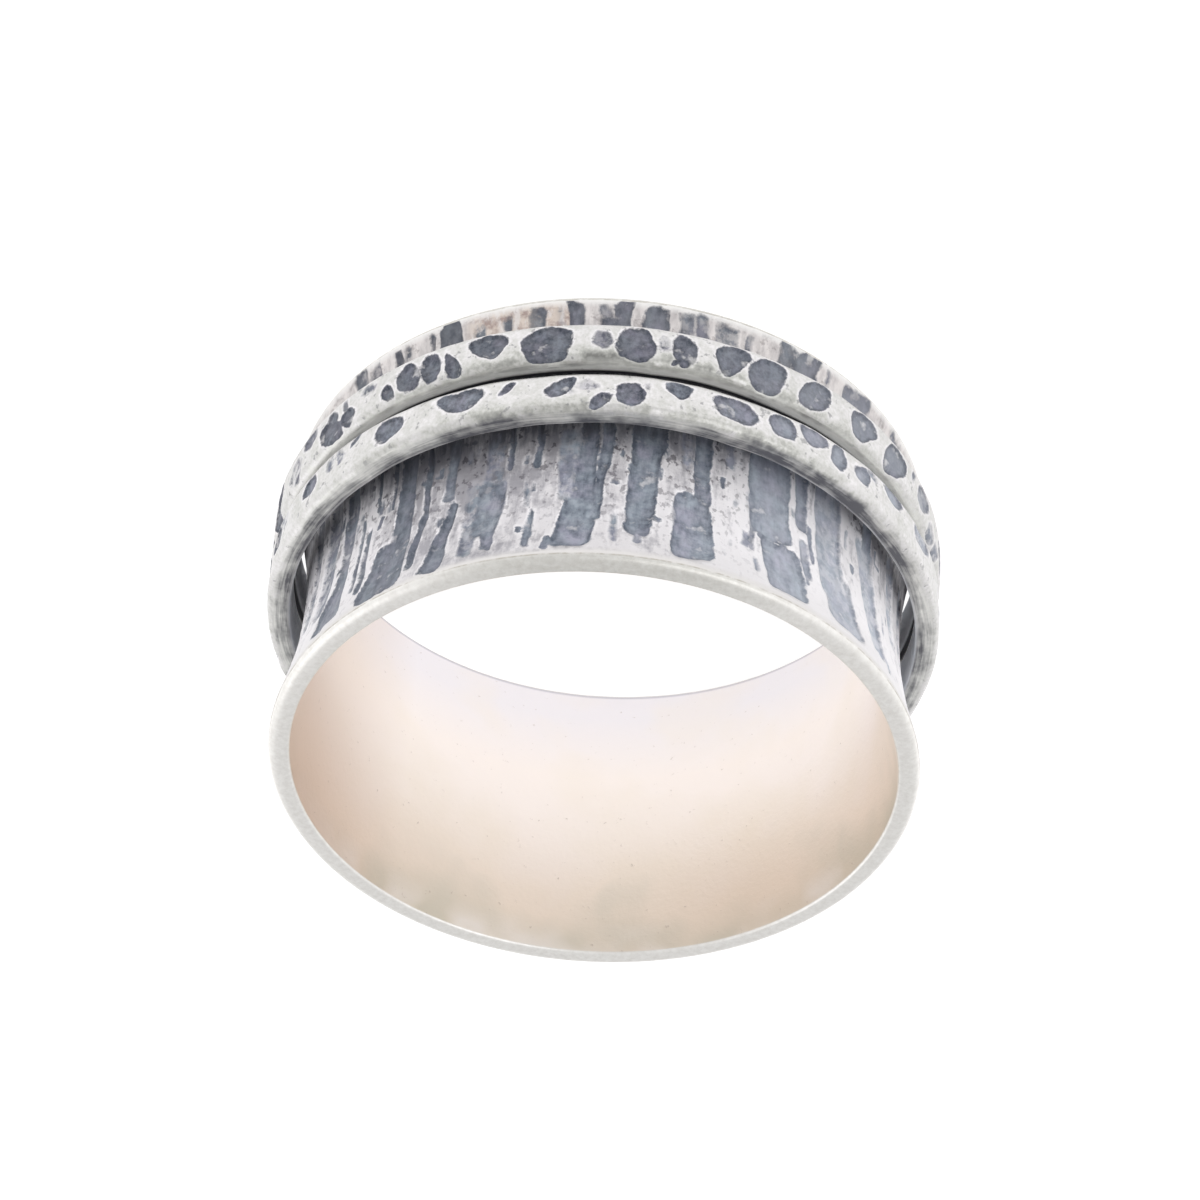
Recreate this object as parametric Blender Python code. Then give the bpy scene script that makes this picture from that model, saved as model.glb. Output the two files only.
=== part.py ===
"""Spinner ring: a flared, bark-hammered band of silver with two loose hammered bands round its waist.

The finger axis is +Z. The ring lies on its lower rim at z = 0 and its front faces -Y.
Sizes are in metres. Angles in the tables are degrees round the ring from its front, positive towards -X.
"""
import math

import bmesh
import bpy
from mathutils import Vector

# Driving dimensions
FINGER_BORE = 0.0176            # inner diameter at the waist
RING_WIDTH = 0.01075            # rim to rim, along the finger
SHEET = 0.0006                  # wall at the waist
FLARE = 0.0008                  # how far the outer face leans out at the rims
RIM_SWELL = 0.00015             # how much thicker the wall is at the rims
RIM_LAND = 0.0003               # flat polished ring on each rim
RIM_DROP = 0.00026              # height lost from the land to the outer edge of the rim
RIM_EASE = 0.00006              # small bevel at the inner edge of the rim
BARK_DEPTH = 0.00010            # deepest bark mark
BARK_MARGIN = 0.00028           # plain lip left between the bark and the rim's outer edge

SPINNER_WIDTH = 0.0016          # along the finger
SPINNER_THICKNESS = 0.00075     # radially
SPINNER_PLAY = 0.0005           # radial play round the waist
SPINNER_ROUND = 0.00034         # rounding of the outer corners
SPINNER_EASE = 0.00012          # bevel of the inner corners
SPINNER_GAP = 0.00045           # between the two spinners
SEAT_CLEARANCE = 0.0001         # radial gap where the lower spinner meets the flare
DENT_DEPTH = 0.00009            # deepest dent of a spinner

# Facets
BASE_STEPS = 144
BASE_OUTER_ROWS = 11
BASE_INNER_ROWS = 4
SPINNER_STEPS = 120
SPINNER_FACE_ROWS = 3
SPINNER_CORNER_ROWS = 2
SMOOTH_ANGLE = math.radians(32)

# Worked out
WAIST_RADIUS = FINGER_BORE / 2 + SHEET
HALF_WIDTH = RING_WIDTH / 2
SPINNER_INNER = WAIST_RADIUS + SPINNER_PLAY
SPINNER_OUTER = SPINNER_INNER + SPINNER_THICKNESS
SEAT_SHARE = math.sqrt((SPINNER_PLAY - SEAT_CLEARANCE) / FLARE)
LOWER_SPINNER_MID = HALF_WIDTH * (1 - SEAT_SHARE) + SPINNER_WIDTH / 2
UPPER_SPINNER_MID = LOWER_SPINNER_MID + SPINNER_WIDTH + SPINNER_GAP

# Bark marks of the base band. Foot and head are the lower and upper ends, as shares of the ring's width;
# deep is a share of BARK_DEPTH.
# foot_at, head_at, foot_wide, head_wide, foot, head, deep
BARK = (
    (-72.2, -72.2, 5.0, 5.5, 0.30, 0.78, 0.6),
    (-64.0, -64.5, 5.0, 5.6, 0.30, 0.83, 0.7),
    (-57.2, -57.5, 4.4, 4.2, 0.28, 0.78, 0.9),
    (-57.8, -58.3, 5.2, 9.4, 0.74, 0.935, 0.9),
    (-51.6, -50.6, 3.0, 3.4, 0.40, 0.88, 0.7),
    (-41.2, -41.0, 3.8, 4.4, 0.28, 0.90, 1.0),
    (-42.8, -43.8, 5.6, 10.2, 0.75, 0.965, 1.0),
    (-36.2, -37.2, 2.6, 3.0, 0.38, 0.91, 0.8),
    (-31.0, -31.2, 2.8, 2.6, 0.35, 0.67, 0.6),
    (-29.9, -32.3, 2.6, 4.6, 0.68, 0.965, 1.0),
    (-22.4, -23.0, 6.0, 6.2, 0.62, 0.94, 0.8),
    (-19.2, -19.4, 2.6, 2.6, 0.38, 0.60, 0.7),
    (-13.5, -14.0, 2.6, 2.6, 0.38, 0.60, 0.8),
    (-14.2, -14.3, 2.6, 2.6, 0.76, 0.94, 0.7),
    (-4.2, -6.6, 3.4, 7.2, 0.40, 0.945, 1.0),
    (-0.7, -2.8, 2.6, 2.6, 0.40, 0.825, 0.8),
    (7.2, 4.9, 6.2, 4.9, 0.38, 0.89, 1.0),
    (16.9, 17.0, 3.4, 3.6, 0.36, 0.70, 1.0),
    (14.9, 14.6, 6.6, 8.8, 0.665, 0.945, 1.0),
    (31.3, 31.0, 9.2, 9.6, 0.36, 0.73, 0.8),
    (33.0, 33.4, 8.4, 9.4, 0.745, 0.950, 1.0),
    (38.2, 38.7, 3.4, 2.6, 0.36, 0.82, 0.9),
    (45.3, 46.2, 6.4, 7.8, 0.34, 0.83, 1.0),
    (47.9, 49.0, 8.2, 9.2, 0.79, 0.936, 1.0),
    (57.5, 59.8, 5.6, 5.2, 0.38, 0.875, 0.9),
    (70.0, 70.6, 5.0, 4.2, 0.38, 0.71, 0.6),
    (-51.2, -51.2, 6.6, 6.6, 0.032, 0.20, 0.6),
    (-43.2, -43.2, 2.6, 2.6, 0.036, 0.22, 0.8),
    (-36.0, -36.4, 2.6, 2.6, 0.036, 0.20, 0.7),
    (-31.7, -31.7, 4.3, 4.1, 0.028, 0.24, 1.0),
    (-14.8, -14.8, 2.8, 2.8, 0.036, 0.22, 0.8),
    (-8.0, -8.0, 3.3, 3.3, 0.030, 0.22, 0.9),
    (-0.8, -0.8, 5.6, 5.6, 0.030, 0.24, 0.9),
    (6.4, 6.4, 4.3, 4.1, 0.030, 0.22, 1.0),
    (12.8, 12.8, 5.2, 5.2, 0.034, 0.22, 0.8),
    (18.9, 18.9, 4.6, 4.6, 0.040, 0.20, 0.6),
    (30.8, 30.8, 3.7, 3.7, 0.028, 0.22, 1.0),
    (35.5, 35.5, 5.3, 5.3, 0.028, 0.22, 1.0),
    (48.4, 48.4, 7.4, 7.4, 0.030, 0.22, 0.7),
    (62.0, 62.0, 5.0, 5.0, 0.036, 0.20, 0.5),
)

# Dents of the spinners. Up and tall are shares of SPINNER_WIDTH, lean is the shift of the dent's ends,
# taper is positive where the dent is wider at its upper end, deep is a share of DENT_DEPTH.
# at, wide, up, tall, lean, taper, deep
LOWER_DENTS = (
    (-69.0, 5.0, 0.64, 0.62, 0.0, 0.0, 0.4),
    (-63.0, 5.2, 0.36, 0.37, 0.0, -0.4, 0.6),
    (-56.3, 6.4, 0.70, 0.62, 1.0, 0.0, 0.9),
    (-55.6, 3.0, 0.38, 0.34, 0.3, 0.0, 0.7),
    (-51.3, 3.6, 0.675, 0.45, 0.3, 0.0, 0.8),
    (-46.1, 3.4, 0.35, 0.28, 0.0, 0.0, 0.4),
    (-41.7, 3.0, 0.72, 0.42, 0.4, 0.0, 0.9),
    (-37.4, 4.7, 0.58, 0.70, 0.4, 0.0, 0.9),
    (-33.0, 3.8, 0.565, 0.73, 0.2, -0.1, 1.0),
    (-28.9, 3.2, 0.66, 0.72, 0.9, 0.5, 1.0),
    (-22.2, 6.2, 0.455, 0.64, 0.3, -0.4, 0.9),
    (-12.2, 8.4, 0.62, 0.92, 0.0, -0.1, 1.0),
    (-3.1, 3.4, 0.505, 0.48, 0.2, 0.0, 0.6),
    (2.6, 6.6, 0.56, 0.84, 0.1, 0.0, 1.0),
    (10.7, 4.4, 0.58, 0.76, 0.2, -0.15, 0.9),
    (18.8, 5.5, 0.525, 0.77, -0.9, -0.25, 1.0),
    (25.4, 6.6, 0.62, 0.90, -0.9, -0.15, 0.9),
    (35.0, 6.2, 0.535, 0.79, -1.3, 0.0, 1.0),
    (46.2, 6.4, 0.52, 0.70, -0.6, -0.4, 0.8),
    (55.6, 6.6, 0.58, 0.82, -1.2, 0.0, 0.9),
    (67.2, 5.8, 0.49, 0.63, -0.8, 0.0, 0.6),
    (72.6, 4.4, 0.86, 0.50, 0.0, 0.0, 0.5),
)
UPPER_DENTS = (
    (-73.5, 4.5, 0.25, 0.50, 0.5, 0.0, 0.4),
    (-61.5, 4.7, 0.415, 0.49, 0.0, 0.0, 0.9),
    (-53.8, 5.4, 0.355, 0.42, 0.0, 0.0, 0.4),
    (-40.6, 6.1, 0.44, 0.54, -0.6, 0.0, 1.0),
    (-26.5, 8.1, 0.425, 0.56, 0.4, -0.25, 1.0),
    (-18.6, 3.0, 0.35, 0.29, -0.8, 0.0, 0.8),
    (-9.3, 4.1, 0.45, 0.48, -1.3, 0.0, 0.9),
    (-5.0, 3.8, 0.385, 0.30, 0.0, 0.0, 0.5),
    (-2.8, 3.2, 0.775, 0.38, -0.8, 0.0, 0.9),
    (2.1, 5.0, 0.59, 0.57, 0.0, 0.0, 1.0),
    (10.1, 4.1, 0.34, 0.39, 0.0, -0.5, 0.9),
    (20.0, 8.1, 0.49, 0.57, 0.9, -0.15, 1.0),
    (28.6, 5.1, 0.445, 0.54, 0.0, 0.0, 0.9),
    (34.9, 5.5, 0.31, 0.45, 0.0, -0.35, 0.8),
    (40.4, 3.5, 0.40, 0.57, 0.0, 0.35, 0.9),
    (46.2, 4.2, 0.445, 0.43, 0.0, 0.0, 0.8),
    (55.3, 5.6, 0.17, 0.37, 0.0, -0.45, 0.7),
    (66.5, 7.6, 0.15, 0.47, 0.0, 0.0, 0.5),
)

# The tables chart the front. Mirrored and turned copies of them carry the pattern round the back.
CHARTED_HALF = 75.0
BACK_TURN = 2 * CHARTED_HALF
CLOSING_TURN = 180.0 + CHARTED_HALF
CLOSING_HALF = (360.0 - 4 * CHARTED_HALF) / 2
DENT_POWER = 2.8                # how square the outline of a mark is
DENT_BRINK = 0.35               # share of a mark's half size that its sloping side takes

SILVER_BRIGHT = (0.80, 0.78, 0.75, 1.0)
SILVER_SHADED = (0.62, 0.61, 0.60, 1.0)


def clear_scene():
    """Remove whatever the scene held."""
    for obj in list(bpy.data.objects):
        bpy.data.objects.remove(obj, do_unlink=True)


def silver(name, colour, roughness):
    """Return a plain silver material."""
    material = bpy.data.materials.new(name)
    material.use_nodes = True
    shader = material.node_tree.nodes["Principled BSDF"]
    shader.inputs["Base Color"].default_value = colour
    shader.inputs["Metallic"].default_value = 1.0
    shader.inputs["Roughness"].default_value = roughness
    material.diffuse_color = colour
    return material


def outer_radius(height):
    """Outer radius of the base band, before it is hammered."""
    share = (height - HALF_WIDTH) / HALF_WIDTH
    return WAIST_RADIUS + FLARE * share * share


def inner_radius(height):
    """Inner radius of the base band."""
    share = (height - HALF_WIDTH) / HALF_WIDTH
    return FINGER_BORE / 2 + (FLARE - RIM_SWELL) * share * share


def spread(low, high, rows):
    """Evenly spaced values from low to high, both ends included."""
    return [low + (high - low) * row / rows for row in range(rows + 1)]


def base_profile():
    """Cross-section of the base band as (radius, height), up the outside and down the inside."""
    low, high = RIM_DROP, RING_WIDTH - RIM_DROP
    outer = [(outer_radius(z), z) for z in spread(low, high, BASE_OUTER_ROWS)]
    land_inner = inner_radius(RING_WIDTH) + RIM_EASE
    land_outer = land_inner + RIM_LAND
    inner = [(inner_radius(z), z) for z in spread(RING_WIDTH - RIM_EASE, RIM_EASE, BASE_INNER_ROWS)]
    top = [(land_outer, RING_WIDTH), (land_inner, RING_WIDTH)]
    bottom = [(land_inner, 0.0), (land_outer, 0.0)]
    return outer + top + inner + bottom


def spinner_profile():
    """Cross-section of a spinner about its mid-height: rounded outside, bevelled inside."""
    half = SPINNER_WIDTH / 2
    centre_radius = SPINNER_OUTER - SPINNER_ROUND
    centre_height = half - SPINNER_ROUND
    corner = []
    for row in range(SPINNER_CORNER_ROWS + 1):
        angle = math.pi / 2 * row / SPINNER_CORNER_ROWS
        corner.append((centre_radius + SPINNER_ROUND * math.cos(angle),
                       centre_height + SPINNER_ROUND * math.sin(angle)))
    face = [(SPINNER_OUTER, z) for z in spread(-centre_height, centre_height, SPINNER_FACE_ROWS)]
    lower_corner = [(radius, -height) for radius, height in reversed(corner)]
    bevel = [(SPINNER_INNER + SPINNER_EASE, half), (SPINNER_INNER, half - SPINNER_EASE)]
    lower_bevel = [(radius, -height) for radius, height in reversed(bevel)]
    return lower_corner[:-1] + face + corner[1:] + bevel + lower_bevel


def turned(name, profile, steps):
    """Spin a closed profile round Z into a closed mesh."""
    mesh = bpy.data.meshes.new(name)
    bm = bmesh.new()
    loop = [bm.verts.new((0.0, -radius, height)) for radius, height in profile]
    for index, vert in enumerate(loop):
        bm.edges.new((vert, loop[(index + 1) % len(loop)]))
    bmesh.ops.spin(bm, geom=bm.verts[:] + bm.edges[:], cent=(0, 0, 0), axis=(0, 0, 1), dvec=(0, 0, 0),
                   angle=2 * math.pi, steps=steps, use_merge=True, use_duplicate=False)
    bmesh.ops.remove_doubles(bm, verts=bm.verts[:], dist=SHEET / 1000)
    bmesh.ops.recalc_face_normals(bm, faces=bm.faces[:])
    bm.to_mesh(mesh)
    bm.free()
    return mesh


def round_the_ring(at):
    """Places, with their mirroring, where a mark charted at this angle is repeated round the ring."""
    places = [(at, 1), (BACK_TURN - at, -1)]
    if abs(at) < CLOSING_HALF:
        places.append((CLOSING_TURN + at, 1))
    return places


def angle_between(first, second):
    """Signed difference of two angles in degrees, from -180 to 180."""
    return (first - second + 180.0) % 360.0 - 180.0


def mark_depth(across, along):
    """Share of full depth inside a mark, from its place across and along it, each -1 to 1 at the outline."""
    if abs(across) >= 1 or abs(along) >= 1:
        return 0.0
    reach = (abs(across) ** DENT_POWER + abs(along) ** DENT_POWER) ** (1 / DENT_POWER)
    share = min(max((1 - reach) / DENT_BRINK, 0.0), 1.0)
    return share * share * (3 - 2 * share)


def bark_depth(angle, height):
    """Depth of the bark marks at a place on the outer face of the base band."""
    deepest = 0.0
    for foot_at, head_at, foot_wide, head_wide, foot, head, deep in BARK:
        along = (height / RING_WIDTH - foot) / (head - foot)
        if not 0 < along < 1:
            continue
        half = (foot_wide + (head_wide - foot_wide) * along) / 2
        middle = (foot_at + head_at) / 2
        for place, side in round_the_ring(middle):
            line = place + side * (foot_at + (head_at - foot_at) * along - middle)
            across = angle_between(angle, line) / half
            deepest = max(deepest, deep * mark_depth(across, 2 * along - 1))
    return BARK_DEPTH * deepest


def dent_depth(dents, angle, height):
    """Depth of a spinner's dents at a place on its outer face, with the height above its mid-height."""
    deepest = 0.0
    up_here = height / SPINNER_WIDTH + 0.5
    for at, wide, up, tall, lean, taper, deep in dents:
        along = (up_here - up) / (tall / 2)
        if abs(along) >= 1:
            continue
        half = wide / 2 * (1 + taper * along)
        for place, side in round_the_ring(at):
            across = angle_between(angle, place + side * lean * along) / half
            deepest = max(deepest, deep * mark_depth(across, along))
    return DENT_DEPTH * deepest


def hammer(mesh, is_struck, depth_at):
    """Push the struck vertices of a turned mesh towards the axis by the depth of the marks on them."""
    for vert in mesh.vertices:
        place = vert.co
        radius = math.hypot(place.x, place.y)
        if not is_struck(radius, place.z):
            continue
        angle = math.degrees(math.atan2(-place.x, -place.y))
        sunk = (radius - depth_at(angle, place.z)) / radius
        vert.co = Vector((place.x * sunk, place.y * sunk, place.z))


def add_piece(name, mesh, material, parent, height):
    """Put a finished mesh into the scene as one piece, turned about the ring's axis."""
    mesh.materials.append(material)
    mesh.shade_smooth()
    mesh.set_sharp_from_angle(angle=SMOOTH_ANGLE)
    piece = bpy.data.objects.new(name, mesh)
    piece.parent = parent
    piece.location = (0.0, 0.0, height)
    bpy.context.scene.collection.objects.link(piece)
    return piece


def base_band(parent):
    """The wide flared band, struck with bark marks between its two plain lips."""
    mesh = turned("base_band", base_profile(), BASE_STEPS)
    low = RIM_DROP + BARK_MARGIN / 2
    high = RING_WIDTH - low

    def is_struck(radius, height):
        mid_wall = (outer_radius(height) + inner_radius(height)) / 2
        return radius > mid_wall and low < height < high

    hammer(mesh, is_struck, bark_depth)
    return add_piece("base_band", mesh, silver("worked silver", SILVER_BRIGHT, 0.32), parent, 0.0)


def spinner_band(name, dents, parent, height):
    """One loose band, struck with dents on its outer face and over its rounded corners."""
    mesh = turned(name, spinner_profile(), SPINNER_STEPS)
    face = SPINNER_OUTER - SPINNER_ROUND / 2

    def is_struck(radius, _height):
        return radius > face

    def depth_at(angle, place):
        return dent_depth(dents, angle, place)

    hammer(mesh, is_struck, depth_at)
    return add_piece(name, mesh, silver(name.replace("_", " ") + " silver", SILVER_SHADED, 0.36), parent, height)


def main():
    clear_scene()
    axis = bpy.data.objects.new("finger_axis", None)
    axis.empty_display_size = FINGER_BORE
    bpy.context.scene.collection.objects.link(axis)
    base_band(axis)
    spinner_band("lower_spinner_band", LOWER_DENTS, axis, LOWER_SPINNER_MID)
    spinner_band("upper_spinner_band", UPPER_DENTS, axis, UPPER_SPINNER_MID)


main()
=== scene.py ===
"""Looks of the spinner ring: finely hammered silver with dark oxide in its marks, on a pale floor."""
import math

import bpy
import numpy as np
from mathutils import Matrix, Vector


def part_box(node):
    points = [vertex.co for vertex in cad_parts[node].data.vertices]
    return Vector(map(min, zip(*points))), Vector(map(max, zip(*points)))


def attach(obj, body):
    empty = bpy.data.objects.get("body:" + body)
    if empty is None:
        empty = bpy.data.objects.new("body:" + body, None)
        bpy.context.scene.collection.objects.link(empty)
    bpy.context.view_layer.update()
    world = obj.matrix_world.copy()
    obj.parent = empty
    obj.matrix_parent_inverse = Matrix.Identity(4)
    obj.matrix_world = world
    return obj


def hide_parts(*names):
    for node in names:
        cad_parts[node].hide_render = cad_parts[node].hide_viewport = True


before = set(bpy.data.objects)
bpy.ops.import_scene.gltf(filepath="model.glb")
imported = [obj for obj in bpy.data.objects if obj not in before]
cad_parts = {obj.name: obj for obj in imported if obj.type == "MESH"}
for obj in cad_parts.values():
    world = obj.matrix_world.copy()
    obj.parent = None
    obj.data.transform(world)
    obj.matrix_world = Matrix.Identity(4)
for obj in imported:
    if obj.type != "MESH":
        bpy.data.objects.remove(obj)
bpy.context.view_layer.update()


# Sizes, in metres, read from the frame where it holds them
BASE_LOW, BASE_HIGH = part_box("base_band")
SPINNER_LOW, SPINNER_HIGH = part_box("lower_spinner_band")
RING_WIDTH = BASE_HIGH.z - BASE_LOW.z
HALF_WIDTH = RING_WIDTH / 2
SPINNER_WIDTH = SPINNER_HIGH.z - SPINNER_LOW.z
FINGER_BORE = 0.0176
SHEET = 0.0006
FLARE = 0.0008
RIM_SWELL = 0.00015
RIM_LAND = 0.0003
RIM_DROP = 0.00026
RIM_EASE = 0.00009
BARK_DEPTH = 0.00011
WAIST_RADIUS = FINGER_BORE / 2 + SHEET

SPINNER_PLAY = 0.0005
SPINNER_ROUND = 0.00034
SPINNER_EASE = 0.00012
DENT_DEPTH = 0.00009
SPINNER_INNER = WAIST_RADIUS + SPINNER_PLAY
SIDE_WAVE = 0.000055            # how far a spinner's filed sides wave
PLANISH = 0.000014              # how uneven a hammered face is between its marks

# Mesh fineness
BASE_COLUMNS = 1000
BARK_ROWS = 74
INNER_ROWS = 6
SPINNER_COLUMNS = 1200
FACE_ROWS = 26
CORNER_ROWS = 9
SIDE_ROWS = 6
EASE_ROWS = 3
SHOULDER_ROWS = 5

# Bark marks. Angles are degrees round the ring from its front, positive towards -X. Foot and head are
# shares of the ring's width; deep is a share of BARK_DEPTH and dark is how much oxide the mark holds.
# foot_at, head_at, foot_wide, head_wide, foot, head, deep, dark
BARK = (
    (-72.2, -72.2, 4.0, 4.5, 0.30, 0.78, 0.6, 0.55),
    (-64.0, -64.5, 5.0, 5.6, 0.30, 0.83, 0.7, 0.62),
    (-57.2, -57.5, 4.0, 3.6, 0.28, 0.76, 0.9, 0.8),
    (-57.6, -58.6, 3.6, 9.8, 0.72, 0.940, 0.9, 0.85),
    (-52.9, -51.8, 0.9, 1.2, 0.56, 0.865, 0.7, 0.8),
    (-50.6, -49.6, 1.3, 1.7, 0.62, 0.885, 0.8, 0.8),
    (-48.6, -49.0, 1.0, 0.8, 0.38, 0.565, 0.7, 1.0),
    (-44.7, -44.5, 1.1, 0.8, 0.38, 0.59, 0.8, 1.0),
    (-41.2, -41.0, 3.8, 4.4, 0.28, 0.90, 1.0, 1.0),
    (-42.9, -43.9, 7.0, 10.6, 0.735, 0.966, 1.0, 1.0),
    (-36.2, -36.0, 1.3, 1.4, 0.38, 0.72, 0.8, 1.0),
    (-36.2, -37.3, 1.5, 1.9, 0.69, 0.91, 0.8, 0.95),
    (-31.0, -31.2, 2.4, 2.2, 0.35, 0.665, 0.5, 0.8),
    (-33.8, -33.6, 0.8, 0.8, 0.52, 0.56, 0.5, 0.9),
    (-29.9, -32.3, 1.8, 4.6, 0.68, 0.968, 1.0, 1.0),
    (-22.4, -23.0, 5.8, 5.4, 0.63, 0.86, 0.7, 0.8),
    (-26.4, -26.2, 2.6, 2.6, 0.62, 0.80, 0.3, 0.5),
    (-22.0, -22.2, 3.4, 4.6, 0.43, 0.645, 0.4, 0.50),
    (-25.4, -25.4, 2.6, 2.8, 0.80, 0.94, 0.6, 0.7),
    (-21.9, -21.8, 2.8, 1.9, 0.80, 0.93, 0.8, 0.9),
    (-18.8, -19.1, 1.1, 1.0, 0.38, 0.60, 0.8, 1.0),
    (-20.7, -20.9, 1.4, 0.9, 0.48, 0.60, 0.5, 0.7),
    (-13.5, -14.0, 1.3, 1.1, 0.38, 0.60, 0.8, 1.0),
    (-15.9, -15.9, 0.8, 0.8, 0.55, 0.585, 0.4, 0.8),
    (-16.0, -15.7, 0.7, 0.9, 0.65, 0.735, 0.4, 0.7),
    (-14.3, -14.3, 0.7, 0.7, 0.655, 0.69, 0.4, 0.8),
    (-14.0, -14.4, 0.9, 1.5, 0.77, 0.94, 0.7, 0.85),
    (-4.2, -6.6, 2.8, 7.2, 0.40, 0.945, 1.0, 1.0),
    (-7.6, -8.4, 4.4, 3.4, 0.46, 0.74, 0.4, 0.64),
    (-10.4, -10.9, 0.9, 1.5, 0.89, 0.955, 0.6, 0.9),
    (-0.7, -2.8, 2.0, 1.5, 0.40, 0.825, 0.8, 1.0),
    (0.7, 0.7, 1.2, 1.2, 0.785, 0.925, 0.4, 0.6),
    (7.2, 4.9, 6.2, 4.9, 0.38, 0.878, 1.0, 1.0),
    (4.8, 4.8, 1.5, 1.2, 0.86, 0.918, 0.6, 0.75),
    (16.9, 17.0, 3.2, 3.4, 0.36, 0.70, 1.0, 1.0),
    (14.9, 14.6, 6.6, 8.8, 0.665, 0.945, 1.0, 0.9),
    (13.9, 13.7, 2.6, 2.2, 0.40, 0.57, 0.4, 0.5),
    (22.0, 22.4, 3.4, 2.4, 0.40, 0.53, 0.2, 0.45),
    (31.3, 31.0, 9.2, 9.6, 0.36, 0.735, 0.8, 0.85),
    (26.9, 26.3, 1.6, 1.2, 0.70, 0.815, 0.6, 0.75),
    (33.0, 33.4, 8.4, 9.4, 0.740, 0.950, 1.0, 0.95),
    (38.3, 38.5, 3.6, 2.6, 0.36, 0.630, 0.9, 0.85),
    (38.6, 38.9, 2.4, 1.9, 0.665, 0.825, 0.6, 0.75),
    (40.4, 40.6, 0.8, 0.8, 0.60, 0.74, 0.6, 0.9),
    (45.4, 46.3, 6.6, 8.2, 0.34, 0.84, 1.0, 0.72),
    (46.8, 48.6, 8.6, 9.6, 0.70, 0.936, 1.0, 0.75),
    (57.5, 60.0, 6.4, 5.4, 0.48, 0.885, 0.9, 0.68),
    (58.2, 58.2, 3.2, 3.0, 0.36, 0.505, 0.9, 1.0),
    (63.6, 64.6, 4.0, 4.6, 0.84, 0.90, 0.3, 0.4),
    (70.0, 70.6, 4.6, 4.0, 0.38, 0.71, 0.5, 0.5),
    (-53.0, -53.0, 3.4, 3.4, 0.030, 0.20, 0.6, 0.65),
    (-49.3, -49.3, 3.0, 3.0, 0.034, 0.20, 0.6, 0.6),
    (-43.4, -43.4, 1.4, 1.4, 0.036, 0.22, 0.8, 0.85),
    (-41.0, -41.0, 2.2, 2.2, 0.040, 0.20, 0.3, 0.4),
    (-35.6, -36.6, 1.3, 1.3, 0.036, 0.20, 0.7, 0.75),
    (-31.7, -31.7, 4.3, 4.1, 0.026, 0.24, 1.0, 0.85),
    (-26.2, -26.2, 3.0, 3.4, 0.060, 0.20, 0.3, 0.45),
    (-20.2, -20.6, 1.5, 1.3, 0.034, 0.14, 0.7, 0.7),
    (-14.8, -14.8, 2.8, 2.8, 0.036, 0.22, 0.8, 0.75),
    (-11.4, -11.4, 1.5, 1.5, 0.040, 0.10, 0.3, 0.5),
    (-8.0, -8.0, 3.3, 3.3, 0.030, 0.22, 0.9, 0.85),
    (-2.8, -2.8, 2.4, 2.4, 0.034, 0.24, 0.7, 0.7),
    (0.2, 0.2, 3.4, 3.6, 0.028, 0.24, 0.9, 0.85),
    (6.4, 6.4, 4.3, 4.1, 0.028, 0.22, 1.0, 0.85),
    (11.5, 11.5, 2.6, 2.6, 0.034, 0.22, 0.8, 0.7),
    (14.3, 14.3, 2.4, 2.4, 0.036, 0.22, 0.8, 0.7),
    (18.9, 18.9, 4.6, 4.6, 0.040, 0.20, 0.6, 0.6),
    (23.7, 23.7, 1.7, 1.7, 0.040, 0.20, 0.6, 0.65),
    (30.8, 30.8, 3.7, 3.7, 0.026, 0.22, 1.0, 0.8),
    (35.5, 35.5, 5.3, 5.3, 0.026, 0.22, 1.0, 0.85),
    (40.2, 40.2, 1.3, 1.3, 0.036, 0.20, 0.3, 0.5),
    (48.4, 48.4, 7.4, 7.4, 0.028, 0.22, 0.7, 0.7),
    (62.0, 62.0, 5.0, 5.0, 0.036, 0.20, 0.5, 0.6),
)

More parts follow.
